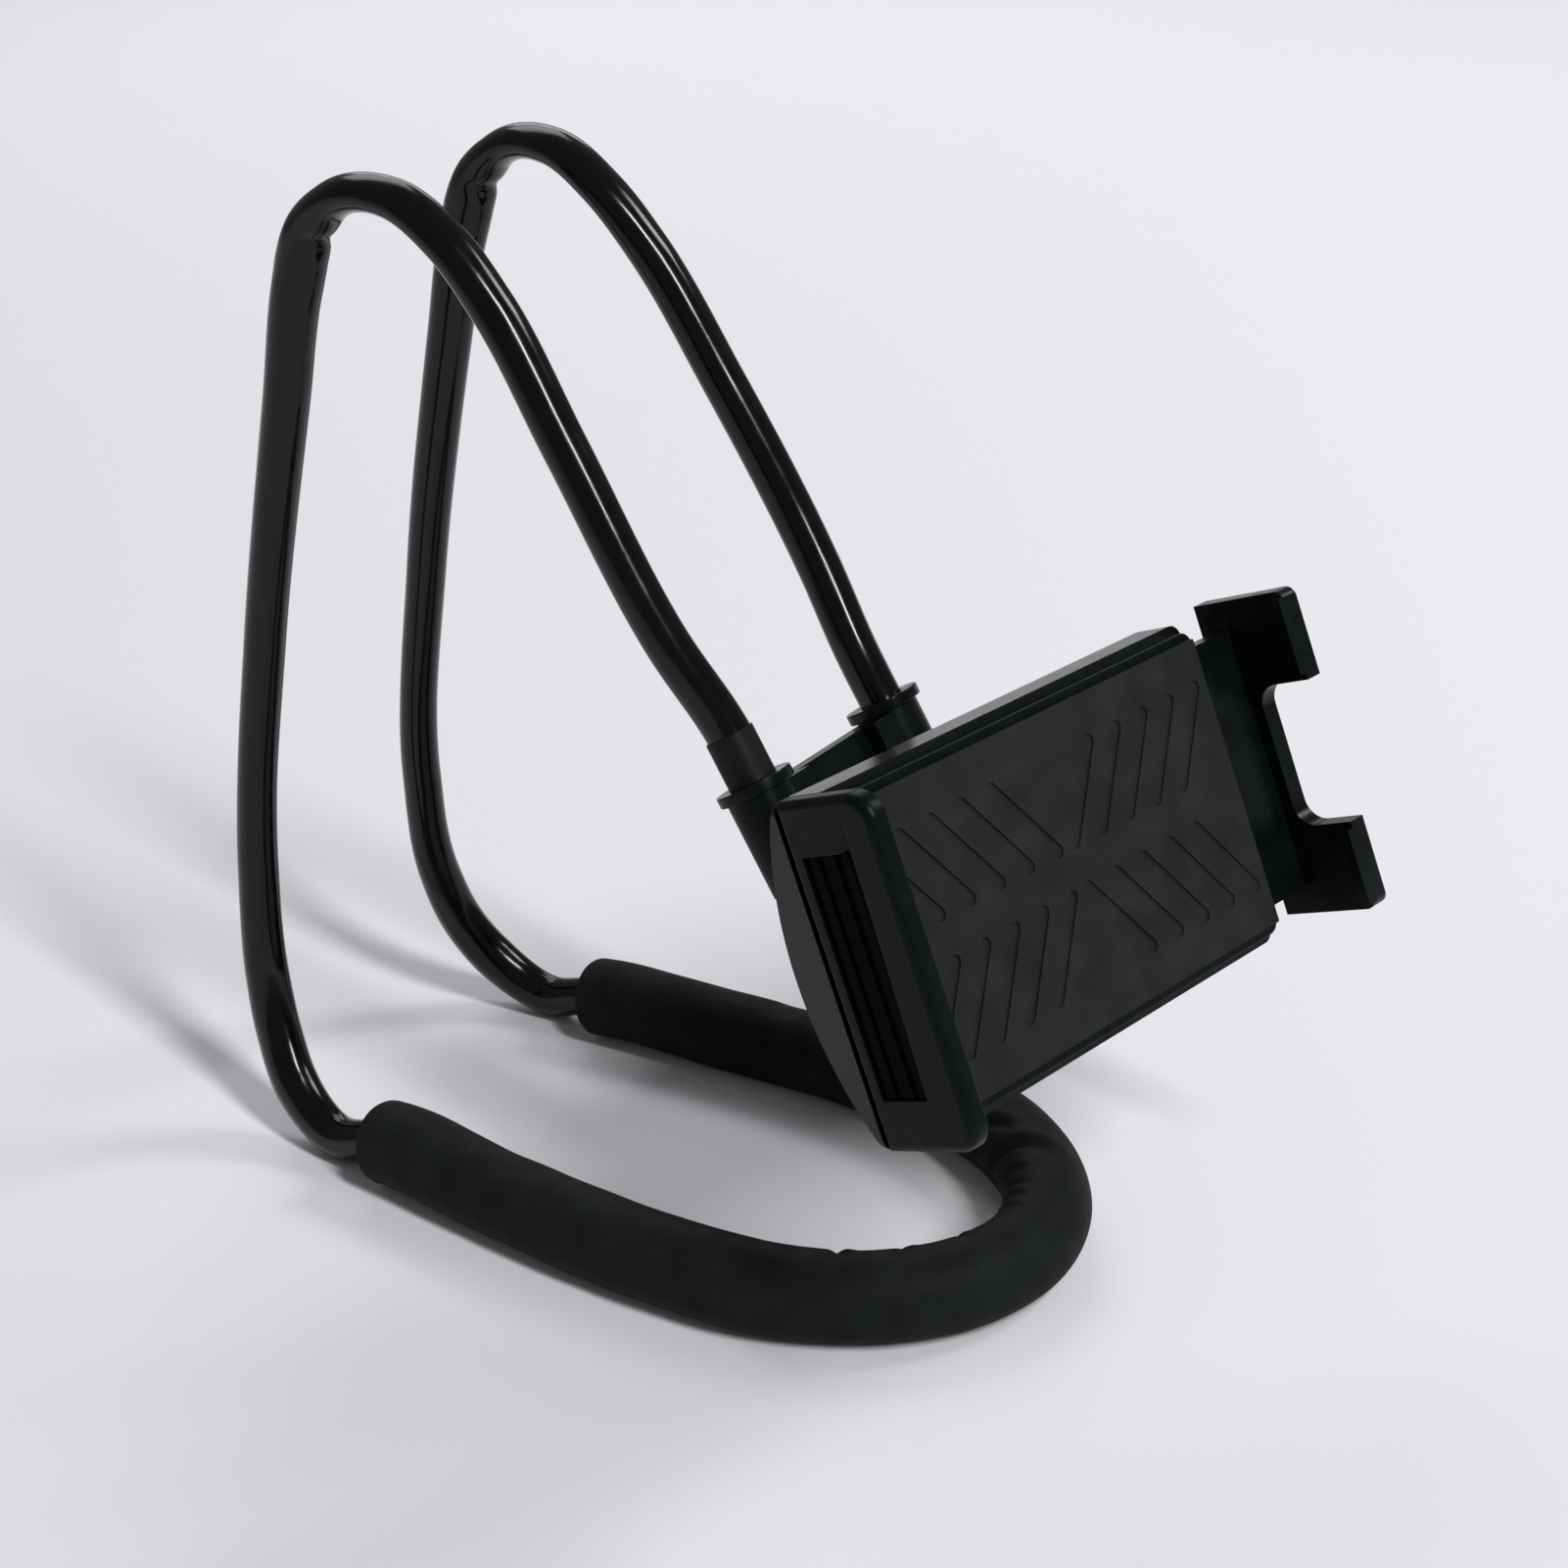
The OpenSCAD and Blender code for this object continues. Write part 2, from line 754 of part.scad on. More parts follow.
module front_cover() {
    post_top = tongue_back - seat_gap;
    color([0.045, 0.045, 0.05])
        at_cradle()
            difference() {
                union() {
                    side_sheet(-half_l, -half_l + fixed_jaw_t, 0, jaw_depth, cradle_h, jaw_corner_r);
                    front_plate(-half_l + fixed_jaw_t - overrun, half_l, cover_h, corner_r,
                        cover_seat, cover_front);
                    at_left_posts()
                        bar_y(post_r, -cover_front, -tongue_back - seat_gap);
                }
                translate([-half_l - overrun, -slot_back - slot_w, -slot_h / 2])
                    cube([slot_depth + overrun, slot_w, slot_h]);
                at_left_posts()
                    bar_y(cover_screw_r + fit_gap, -cover_seat - cover_screw_bite, 0);
                at_stop_posts()
                    bar_y(cover_screw_r + fit_gap, -cover_seat - cover_screw_bite, 0);
            }
}

module cover_screws() {
    head_seat = shell_bow - shell_wall - cover_screw_head_t;
    color("dimgray")
        at_cradle()
            at_posts() {
                bar_y(cover_screw_r, -cover_seat - cover_screw_bite + seat_gap, head_seat + overrun);
                bar_y(cover_screw_head_r, head_seat, head_seat + cover_screw_head_t);
            }
}

// One grip groove, a bar with round ends, leaning to the given side
module groove(side) {
    rotate([0, side * groove_lean, 0])
        translate([0, -pad_front - overrun, 0]) {
            translate([-groove_w / 2, 0, -groove_l / 2])
                cube([groove_w, groove_depth + overrun, groove_l]);
            for (z = [-groove_l / 2, groove_l / 2])
                translate([0, 0, z])
                    bar_y(groove_w / 2, 0, groove_depth + overrun);
        }
}

module grip_pad() {
    middle = (plate_left + half_l) / 2;
    color([0.12, 0.12, 0.125])
        at_cradle()
            difference() {
                front_plate(plate_left + pad_margin, half_l - pad_margin, pad_h, pad_margin,
                    cover_front, pad_front);
                for (side = [-1, 1])
                    for (up = [-1, 1])
                        for (i = [0 : groove_pairs - 1])
                            translate([middle + side * (groove_start + i * groove_pitch), 0,
                                up * groove_rise])
                                groove(side * up);
            }
}

module slot_insert() {
    insert_left = -half_l + slot_depth - insert_t;
    color([0.02, 0.02, 0.02])
        at_cradle() {
            translate([insert_left, -slot_back - slot_w + seat_gap, -slot_h / 2 + seat_gap])
                cube([insert_t, slot_w - 2 * seat_gap, slot_h - 2 * seat_gap]);
            for (s = ridge_shares)
                translate([insert_left, -slot_back - s * slot_w, -slot_h / 2 + seat_gap])
                    cylinder(r = ridge_r, h = slot_h - 2 * seat_gap, $fn = small_fn);
        }
}

module fixed_jaw_pad() {
    strip_back = pad_front + seat_gap;
    color([0.1, 0.1, 0.1])
        at_cradle()
            translate([plate_left, -strip_back - strip_w, -strip_h / 2])
                cube([strip_t, strip_w, strip_h]);
}

// A bowed leaf that presses the tongue against the cover
module slide_spring() {
    half = spring_l / 2;
    leaf_r = (half * half + spring_rise * spring_rise) / (2 * spring_rise);
    swing = asin(half / leaf_r);
    color("silver")
        at_cradle()
            translate([spring_x, -tongue_back + fit_gap + leaf_r, -spring_w / 2])
                rotate([0, 0, -half_turn - swing])
                    rotate_extrude(angle = 2 * swing, $fn = smooth_fn)
                        translate([leaf_r - spring_t, 0])
                            square([spring_t, spring_w]);
}

// The sliding jaw's wall from the side: two feet with a round-cornered cut-out between them
module jaw_outline() {
    gap = cradle_h / 2 - foot_h;
    difference() {
        union() {
            translate([-jaw_depth + foot_corner_r, -half_h])
                square([jaw_depth - foot_corner_r - jaw_back, cradle_h]);
            translate([-jaw_depth, -half_h + foot_corner_r])
                square([jaw_depth - jaw_back, cradle_h - 2 * foot_corner_r]);
            for (z = [-half_h + foot_corner_r, half_h - foot_corner_r])
                translate([-jaw_depth + foot_corner_r, z])
                    circle(r = foot_corner_r, $fn = small_fn);
        }
        translate([-jaw_depth - overrun, -gap])
            square([jaw_depth + overrun - cutout_floor - cutout_r, 2 * gap]);
        translate([-jaw_depth - overrun, -gap + cutout_r])
            square([jaw_depth + overrun - cutout_floor, 2 * (gap - cutout_r)]);
        for (z = [-gap + cutout_r, gap - cutout_r])
            translate([-cutout_floor - cutout_r, z])
                circle(r = cutout_r, $fn = small_fn);
    }
}

module sliding_jaw() {
    inner = half_l + jaw_out;
    slot_l = travel_in + travel_out;
    slot_r = post_r + stop_slot_gap;
    pad_top = half_h - foot_pad_side;
    color([0.03, 0.03, 0.032])
        at_cradle()
            difference() {
                union() {
                    translate([inner, 0, 0])
                        rotate([90, 0, 90])
                            linear_extrude(jaw_t)
                                jaw_outline();
                    front_plate(inner - tongue_l, inner + jaw_t / 2, tongue_h, tongue_corner_r,
                        tongue_back, tongue_front);
                    for (side = [-1, 1])
                        translate([inner - lip_reach, -jaw_depth,
                            side * (half_h - foot_h / 2) - foot_h / 2 + lip_margin])
                            cube([lip_reach + overrun, lip_t, foot_h - 2 * lip_margin]);
                }
                for (z = [-post_z, post_z]) {
                    translate([post_x - travel_out, 0, z])
                        bar_y(slot_r, -tongue_front - overrun, -tongue_back + overrun);
                    translate([post_x - travel_out, -tongue_front - overrun, z - slot_r])
                        cube([slot_l, tongue_t + 2 * overrun, 2 * slot_r]);
                    translate([post_x + travel_in, 0, z])
                        bar_y(slot_r, -tongue_front - overrun, -tongue_back + overrun);
                }
                for (z = [-pad_top, pad_top - foot_pad_h])
                    translate([inner - overrun, -jaw_depth + foot_pad_front, z])
                        cube([foot_pad_sink + overrun, foot_pad_w, foot_pad_h]);
            }
}

module foot_pad(z) {
    inner = half_l + jaw_out;
    color([0.09, 0.09, 0.09])
        at_cradle()
            translate([inner + foot_pad_sink - foot_pad_t, -jaw_depth + foot_pad_front + fit_gap, z + fit_gap])
                cube([foot_pad_t, foot_pad_w - 2 * fit_gap, foot_pad_h - 2 * fit_gap]);
}

module upper_foot_pad() {
    foot_pad(half_h - foot_pad_side - foot_pad_h);
}

module lower_foot_pad() {
    foot_pad(-half_h + foot_pad_side);
}

core_wire();
tube_sheath();
foam_sleeve();
wire_ferrules();
socket_collars();
end_sleeve();
bridge_body();
bridge_cover();
bridge_screws();
ball_stud();
stud_screw();
ball_liner();
seat_cup();
seat_ring();
lock_nut();
back_shell();
front_cover();
grip_pad();
slot_insert();
fixed_jaw_pad();
slide_spring();
cover_screws();
sliding_jaw();
upper_foot_pad();
lower_foot_pad();
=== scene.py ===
"""Neck phone holder: a gooseneck bent into a stand, with a sliding cradle on a ball joint.

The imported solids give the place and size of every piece. The sheath, the foam and the
mouldings are rebuilt here with their real surfaces and finishes. Sizes are in
millimetres, and turn into metres where a mesh is made.
"""

from __future__ import annotations

import logging
import math
from dataclasses import dataclass, field
from enum import Enum

import bmesh
import bpy
import numpy as np
from mathutils import Matrix, Vector


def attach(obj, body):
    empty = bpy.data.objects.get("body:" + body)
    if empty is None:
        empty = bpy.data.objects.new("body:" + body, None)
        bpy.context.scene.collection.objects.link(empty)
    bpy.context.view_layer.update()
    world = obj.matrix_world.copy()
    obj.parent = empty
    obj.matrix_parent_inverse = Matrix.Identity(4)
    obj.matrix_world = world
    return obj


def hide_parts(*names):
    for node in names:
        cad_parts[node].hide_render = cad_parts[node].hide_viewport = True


LOG = logging.getLogger("neck_holder")
MM = 0.001
IMAGE_SIDE = 1601

# Noises of every finish: size of a feature in millimetres, and finer layers
TONE_NOISE = (9.0, 6.0)
GLOSS_NOISE = (5.0, 5.0)
WAVE_LAYERS = 1.0
GRAIN_LAYERS = 3.0
# Noise values between which the tone and the roughness go from low to high
TONE_SPAN = (0.3, 0.72)
GLOSS_SPAN = (0.3, 0.7)
LEAST_ROUGHNESS = 0.02
BRUSH_STRETCH = 0.06

# Mouldings: corners closer than this are one, and edges sharper than this are rounded
WELD = 0.002 * MM
SHARP = math.radians(35)
FACE_DEPTH = 0.5 * MM
LOOKS_ALONG = 0.99
BORDER_STEPS = 5


class Grain(Enum):
    """How the fine relief of a finish is laid."""

    MOULDED = "moulded"
    PORES = "pores"
    BRUSHED = "brushed"


@dataclass(frozen=True)
class Finish:
    """A finish with fine relief, tone variation and wear, all on Object coordinates."""

    name: str
    colour: tuple[float, float, float]
    roughness: float
    grain: Grain = Grain.MOULDED
    grain_size: float = 0.35
    grain_depth: float = 0.01
    wave_size: float = 14.0
    wave_depth: float = 0.0
    tone: float = 0.25
    gloss_change: float = 0.08
    metallic: float = 0.0
    specular: float = 0.5

    def material(self) -> bpy.types.Material:
        """Builds the node material.

        Returns:
            The material, made once and shared by every piece with this finish.
        """
        known = bpy.data.materials.get(self.name)
        if known is not None:
            return known
        made = bpy.data.materials.new(self.name)
        made.use_nodes = True
        tree = made.node_tree
        shader = tree.nodes["Principled BSDF"]
        shader.inputs["Metallic"].default_value = self.metallic
        shader.inputs["Specular IOR Level"].default_value = self.specular
        place = tree.nodes.new("ShaderNodeTexCoord")
        mapped = tree.nodes.new("ShaderNodeMapping")
        if self.grain is Grain.BRUSHED:
            mapped.inputs["Scale"].default_value = (1.0, BRUSH_STRETCH, 1.0)
        tree.links.new(place.outputs["Object"], mapped.inputs["Vector"])
        tree.links.new(self._tone(tree, place), shader.inputs["Base Color"])
        tree.links.new(self._gloss(tree, place), shader.inputs["Roughness"])
        tree.links.new(self._relief(tree, mapped, place), shader.inputs["Normal"])
        made.diffuse_color = (*self.colour, 1.0)
        return made

    def _noise(self, tree: bpy.types.NodeTree, vector: bpy.types.NodeSocket, size: float,
               detail: float) -> bpy.types.NodeSocket:
        """Adds a noise whose features are size millimetres across.

        Args:
            tree: the material's node tree.
            vector: the coordinates that the noise reads.
            size: the size of a feature in millimetres.
            detail: how many finer layers are added.

        Returns:
            The noise's factor output.
        """
        noise = tree.nodes.new("ShaderNodeTexNoise")
        noise.inputs["Scale"].default_value = 1.0 / (size * MM)
        noise.inputs["Detail"].default_value = detail
        tree.links.new(vector, noise.inputs["Vector"])
        return noise.outputs["Fac"]

    def _tone(self, tree: bpy.types.NodeTree, place: bpy.types.Node) -> bpy.types.NodeSocket:
        """Colour between a darker and a lighter tone, in soft blotches.

        Args:
            tree: the material's node tree.
            place: the texture coordinates.

        Returns:
            The colour output.
        """
        ramp = tree.nodes.new("ShaderNodeValToRGB")
        low, high = ramp.color_ramp.elements
        low.position, high.position = TONE_SPAN
        low.color = (*[c * (1.0 - self.tone) for c in self.colour], 1.0)
        high.color = (*[min(1.0, c * (1.0 + self.tone)) for c in self.colour], 1.0)
        tree.links.new(self._noise(tree, place.outputs["Object"], *TONE_NOISE), ramp.inputs["Fac"])
        return ramp.outputs["Color"]

    def _gloss(self, tree: bpy.types.NodeTree, place: bpy.types.Node) -> bpy.types.NodeSocket:
        """Roughness that wanders a little over the surface, as handling leaves it.

        Args:
            tree: the material's node tree.
            place: the texture coordinates.

        Returns:
            The roughness output.
        """
        span = tree.nodes.new("ShaderNodeMapRange")
        span.inputs["From Min"].default_value, span.inputs["From Max"].default_value = GLOSS_SPAN
        span.inputs["To Min"].default_value = max(LEAST_ROUGHNESS, self.roughness - self.gloss_change)
        span.inputs["To Max"].default_value = min(1.0, self.roughness + self.gloss_change)
        tree.links.new(self._noise(tree, place.outputs["Object"], *GLOSS_NOISE), span.inputs["Value"])
        return span.outputs["Result"]

    def _relief(self, tree: bpy.types.NodeTree, mapped: bpy.types.Node,
                place: bpy.types.Node) -> bpy.types.NodeSocket:
        """Bump from the fine grain over long soft waves.

        Args:
            tree: the material's node tree.
            mapped: the coordinates of the fine grain.
            place: the plain texture coordinates, for the waves.

        Returns:
            The normal output.
        """
        last = None
        if self.wave_depth > 0:
            waves = tree.nodes.new("ShaderNodeBump")
            waves.inputs["Distance"].default_value = self.wave_depth * MM
            tree.links.new(self._noise(tree, place.outputs["Object"], self.wave_size, WAVE_LAYERS),
                           waves.inputs["Height"])
            last = waves.outputs["Normal"]
        bump = tree.nodes.new("ShaderNodeBump")
        bump.inputs["Distance"].default_value = self.grain_depth * MM
        if self.grain is Grain.PORES:
            cells = tree.nodes.new("ShaderNodeTexVoronoi")
            cells.inputs["Scale"].default_value = 1.0 / (self.grain_size * MM)
            tree.links.new(mapped.outputs["Vector"], cells.inputs["Vector"])
            tree.links.new(cells.outputs["Distance"], bump.inputs["Height"])
        else:
            tree.links.new(self._noise(tree, mapped.outputs["Vector"], self.grain_size, GRAIN_LAYERS),
                           bump.inputs["Height"])
        if last is not None:
            tree.links.new(last, bump.inputs["Normal"])
        return bump.outputs["Normal"]


SHEATH_PVC = Finish("sheath_pvc", (0.0010, 0.0014, 0.0014), 0.15, Grain.MOULDED, 2.5, 0.01,
                    wave_size=18.0, wave_depth=0.2, tone=0.25, gloss_change=0.04, specular=0.3)
FOAM_SKIN = Finish("foam_skin", (0.0122, 0.0142, 0.0140), 0.58, Grain.PORES, 0.28, 0.012,
                   wave_size=10.0, wave_depth=0.12, tone=0.22, gloss_change=0.05, specular=0.04)
SATIN_ABS = Finish("satin_abs", (0.0024, 0.0044, 0.0038), 0.34, Grain.MOULDED, 0.3, 0.003,
                   tone=0.25, gloss_change=0.05, specular=0.1)
SHELL_ABS = Finish("shell_abs", (0.0020, 0.0040, 0.0035), 0.24, Grain.MOULDED, 0.4, 0.0006,
                   tone=0.25, gloss_change=0.015, specular=0.34)
GLOSS_ABS = Finish("gloss_abs", (0.0026, 0.0044, 0.0038), 0.26, Grain.MOULDED, 1.2, 0.008,
                   wave_size=9.0, wave_depth=0.06, tone=0.3, gloss_change=0.1, specular=0.14)
PAD_RUBBER = Finish("moulded_pad_rubber", (0.0130, 0.0142, 0.0140), 0.6, Grain.MOULDED, 0.25, 0.02,
                    tone=0.3, gloss_change=0.08, specular=0.12)
GRIP_RUBBER = Finish("grip_rubber", (0.0016, 0.0022, 0.0020), 0.5, Grain.MOULDED, 0.25, 0.015,
                     specular=0.1)
GLOSS_RUBBER = Finish("gloss_rubber", (0.0004, 0.0006, 0.0005), 0.2, Grain.MOULDED, 1.0, 0.006,
                      specular=0.02)
SLEEVE_RUBBER = Finish("sleeve_rubber", (0.0045, 0.0052, 0.0052), 0.5, Grain.MOULDED, 0.3, 0.015,
                       specular=0.15)
NYLON = Finish("cap_nylon", (0.72, 0.72, 0.69), 0.4, Grain.MOULDED, 0.4, 0.01, tone=0.05)
BARE_ALUMINIUM = Finish("bare_aluminium", (0.75, 0.75, 0.77), 0.35, Grain.BRUSHED, 0.4, 0.01,
                        metallic=1.0, tone=0.06)
BRASS = Finish("brass_turned", (0.66, 0.50, 0.26), 0.3, Grain.BRUSHED, 0.3, 0.006,
               metallic=1.0, tone=0.08)
BLACK_STEEL = Finish("black_steel", (0.09, 0.09, 0.095), 0.34, Grain.BRUSHED, 0.25, 0.006,
                     metallic=1.0, tone=0.1)
POLISHED_STEEL = Finish("polished_steel", (0.55, 0.55, 0.57), 0.16, Grain.BRUSHED, 0.5, 0.003,
                        metallic=1.0, tone=0.06)


@dataclass
class Surface:
    """A mesh being put together from grids of points, in millimetres."""

    points: list[np.ndarray] = field(default_factory=list)
    faces: list[np.ndarray] = field(default_factory=list)
    count: int = 0

    def add_grid(self, grid: np.ndarray, wrap_rows: bool, wrap_cols: bool) -> None:
        """Adds a grid of quads: corner (i, j) joins (i + 1, j), (i + 1, j + 1) and (i, j + 1).

        Args:
            grid: points of shape (rows, columns, 3).
            wrap_rows: True where the last row meets the first.
            wrap_cols: True where the last column meets the first.
        """
        rows, cols = grid.shape[:2]
        i = np.arange(rows if wrap_rows else rows - 1)[:, None]
        j = np.arange(cols if wrap_cols else cols - 1)[None, :]
        down, right = (i + 1) % rows, (j + 1) % cols
        quads = np.stack([i * cols + j, down * cols + j, down * cols + right, i * cols + right], axis=-1)
        self.faces.append(quads.reshape(-1, 4) + self.count)
        self.points.append(grid.reshape(-1, 3))
        self.count += rows * cols

    def piece(self, name: str, finish: Finish) -> bpy.types.Object:
        """Turns the surface into an object at the origin, with outward normals.

        Args:
            name: the object's name.
            finish: its finish.

        Returns:
            The new object.
        """
        points = np.vstack(self.points) * MM
        faces = np.vstack(self.faces)
        mesh = bpy.data.meshes.new(name)
        mesh.from_pydata(points.tolist(), [], faces.tolist())
        work = bmesh.new()
        work.from_mesh(mesh)
        bmesh.ops.recalc_face_normals(work, faces=work.faces)
        work.to_mesh(mesh)
        work.free()
        mesh.polygons.foreach_set("use_smooth", np.ones(len(mesh.polygons), dtype=bool))
        mesh.materials.append(finish.material())
        piece = bpy.data.objects.new(name, mesh)
        bpy.context.scene.collection.objects.link(piece)
        return piece


@dataclass
class Moulding:
    """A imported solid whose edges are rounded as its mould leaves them."""

    node: str
    body: str
    finish: Finish
    edge: float = 0.4
    steps: int = 3
    flat: float = 0.6
    border: float = 0.0
    border_side: tuple[float, float, float] = (-1.0, 0.0, 0.0)

    def build(self) -> bpy.types.Object:
        """Copies the node's mesh, joins its loose triangles and rounds its edges.

        Returns:
            The piece, which stands for the node.
        """
        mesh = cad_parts[self.node].data.copy()
        mesh.name = self.node + "_moulding"
        work = bmesh.new()
        work.from_mesh(mesh)
        bmesh.ops.remove_doubles(work, verts=work.verts, dist=WELD)
        bmesh.ops.dissolve_limit(work, angle_limit=math.radians(self.flat), verts=work.verts,
                                 edges=work.edges)
        bmesh.ops.recalc_face_normals(work, faces=work.faces)
        if self.border > 0:
            self._soften(work)
        work.to_mesh(mesh)
        work.free()
        mesh.polygons.foreach_set("use_smooth", np.ones(len(mesh.polygons), dtype=bool))
        mesh.materials.clear()
        mesh.materials.append(self.finish.material())
        piece = bpy.data.objects.new(self.node + "_moulding", mesh)
        bpy.context.scene.collection.objects.link(piece)
        round_edges = piece.modifiers.new("edges", "BEVEL")
        round_edges.width = self.edge * MM
        round_edges.segments = self.steps
        round_edges.limit_method = "ANGLE"
        round_edges.angle_limit = SHARP
        round_edges.use_clamp_overlap = True
        normals = piece.modifiers.new("normals", "WEIGHTED_NORMAL")
        normals.keep_sharp = False
        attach(piece, self.body)
        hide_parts(self.node)
        return piece

    def _soften(self, work: bmesh.types.BMesh) -> None:
        """Rounds the outline of the face that looks along border_side, and not the slot in it.

        An edge is on the outline where its wall looks away from the middle of that face.

        Args:
            work: the mesh, with its normals outward.
        """
        side = Vector(self.border_side).normalized()
        reach = max(vert.co.dot(side) for vert in work.verts) - FACE_DEPTH
        fronts = {face for face in work.faces
                  if face.normal.dot(side) > LOOKS_ALONG and face.calc_center_median().dot(side) > reach}
        area = sum(face.calc_area() for face in fronts)
        middle = sum((face.calc_center_median() * face.calc_area() for face in fronts), Vector()) / area
        outline = []
        for edge in work.edges:
            walls = [face for face in edge.link_faces if face not in fronts]
            if len(edge.link_faces) != 2 or len(walls) != 1 or edge.calc_face_angle(0.0) <= SHARP:
                continue
            centre = (edge.verts[0].co + edge.verts[1].co) / 2
            if walls[0].normal.dot(centre - middle) > 0:
                outline.append(edge)
        bmesh.ops.bevel(work, geom=outline, offset=self.border * MM, segments=BORDER_STEPS,
                        profile=0.5, affect="EDGES", clamp_overlap=True)
        LOG.info("%s: %d edges of its border rounded", self.node, len(outline))


def smooth_step(value: np.ndarray, low: float, high: float) -> np.ndarray:
    """Cubic ease 3t^2 - 2t^3 with t = (value - low) / (high - low), held to 0..1.

    Args:
        value: the numbers to ease.
        low: where the ease starts.
        high: where it ends.

    Returns:
        The eased numbers.
    """
    t = np.clip((value - low) / (high - low), 0.0, 1.0)
    return t * t * (3.0 - 2.0 * t)


def bell(value: np.ndarray, width: float) -> np.ndarray:
    """Gaussian exp(-(value / width)^2).

    Args:
        value: distances from the middle.
        width: the distance at which the bell falls to 1/e.

    Returns:
        The heights, 1 in the middle.
    """
    return np.exp(-(value / width) ** 2)


def unit(vectors: np.ndarray) -> np.ndarray:
    """Vectors divided by their lengths.

    Args:
        vectors: an array whose last axis is x, y, z.

    Returns:
        The unit vectors.
    """
    return vectors / np.linalg.norm(vectors, axis=-1, keepdims=True)


def placed(right: np.ndarray, up: np.ndarray, back: np.ndarray, place: np.ndarray) -> Matrix:
    """Matrix whose columns are the axes right, up and back, and the place in metres.

    Args:
        right: the x axis.
        up: the y axis.
        back: the z axis, against the way it looks or shines.
        place: where it stands.

    Returns:
        The matrix.
    """
    rows = np.column_stack([right, up, back, place]).tolist()
    return Matrix([*rows, [0.0, 0.0, 0.0, 1.0]])


@dataclass
class Route:
    """The gooseneck's centre line, from the left socket round the neck loop to the right one.

    Its points are those of the solids: shares of the stand's sizes, mirrored in x = 0, joined
    by Hermite cubics whose headings weigh the shorter chord more.
    """

    base_half_w: float = 45.5
    arm_half_w: float = 24.5
    bend_reach: float = 62.0
    stand_depth: float = 204.0
    stand_h: float = 242.0
    foam_r: float = 10.3
    foam_flat: float = 0.5
    tube_r: float = 5.0
    heel_gap: float = 0.7
    mouth_y: float = 49.0
    mouth_z: float = 123.0
    socket_lean: float = 30.0
    tube_insert: float = 19.8
    straight_lead: float = 14.0
    samples: int = 30
    loop_step: int = 18
    leg_shares: tuple = ((0.96, 0.58), (0.81, 0.775))
    heel_shares: tuple = ((0.79, 0.86),)
    rise_shares: tuple = (
        (0.67, 0.93, 0.055), (0.5, 0.97, 0.105), (0.38, 0.99, 0.165), (0.27, 0.99, 0.29),
        (0.19, 0.93, 0.545), (0.14, 0.845, 0.8), (0.14, 0.805, 0.91), (0.14, 0.775, 0.963),
        (0.13, 0.725, 0.996), (0.09, 0.655, 0.998), (0.07, 0.59, 0.965), (0.09, 0.535, 0.915),
    )
    top_share: float = 0.655
    drop_shares: tuple = ((0.14, 0.5, 0.59), (0.14, 0.22, 0.255))

    def __post_init__(self) -> None:
        """Works out the dense centre line, its headings and its lengths from the closed end."""
        points = self._half()
        whole = np.vstack([points[:0:-1] * [-1, 1, 1], points])
        self.centres = self._joined(whole)
        self.along = unit(np.gradient(self.centres, axis=0))
        steps = np.linalg.norm(np.diff(self.centres, axis=0), axis=1)
        length = np.concatenate([[0.0], np.cumsum(steps)])
        self.run = length - length[len(length) // 2]

    def _spread(self, share: float) -> float:
        """Distance from the middle plane, between the arms' and the legs'."""
        return self.arm_half_w + share * (self.base_half_w - self.arm_half_w)

    def _half(self) -> np.ndarray:
        """Points of the right half, from the closed end of the loop to the socket's floor."""
        foam_z = self.foam_r - self.foam_flat
        turn = np.radians(np.arange(0, 91, self.loop_step))
        loop = np.stack([self.base_half_w * np.sin(turn), self.bend_reach * (1 - np.cos(turn)),
                         np.full(turn.shape, foam_z)], axis=1).tolist()
        leg = [[self._spread(s), self.stand_depth * y, foam_z] for s, y in self.leg_shares]
        heel = [[self._spread(s), self.stand_depth * y, self.tube_r + self.heel_gap]
                for s, y in self.heel_shares]
        rise = [[self._spread(s), self.stand_depth * y, self.stand_h * z] for s, y, z in self.rise_shares]
        top_y = self.stand_depth * self.top_share
        drop = [[self._spread(s), self.mouth_y + y * (top_y - self.mouth_y),
                 self.mouth_z + z * (self.stand_h - self.mouth_z)] for s, y, z in self.drop_shares]
        lean = math.radians(self.socket_lean)
        socket = [[self.arm_half_w, self.mouth_y + d * math.sin(lean), self.mouth_z + d * math.cos(lean)]
                  for d in (self.straight_lead, 0.0, -self.tube_insert)]
        return np.array(loop + leg + heel + rise + drop + socket)

    def _joined(self, points: np.ndarray) -> np.ndarray:
        """Hermite cubics through points: P0 h00(t) + T0 L h10(t) + P1 h01(t) + T1 L h11(t).

        Args:
            points: the route's points.

        Returns:
            The dense centre line.
        """
        chords = np.diff(points, axis=0)
        length = np.linalg.norm(chords, axis=1)
        way = chords / length[:, None]
        heading = np.empty_like(points)
        heading[0], heading[-1] = way[0], way[-1]
        heading[1:-1] = unit(way[:-1] * length[1:, None] + way[1:] * length[:-1, None])
        t = np.linspace(0.0, 1.0, self.samples, endpoint=False)[None, :, None]
        size = length[:, None, None]
        curve = (points[:-1, None] * (1 + 2 * t) * (1 - t) ** 2
                 + heading[:-1, None] * size * t * (1 - t) ** 2
                 + points[1:, None] * t * t * (3 - 2 * t)
                 - heading[1:, None] * size * t * t * (1 - t))
        return np.vstack([curve.reshape(-1, 3), points[-1:]])

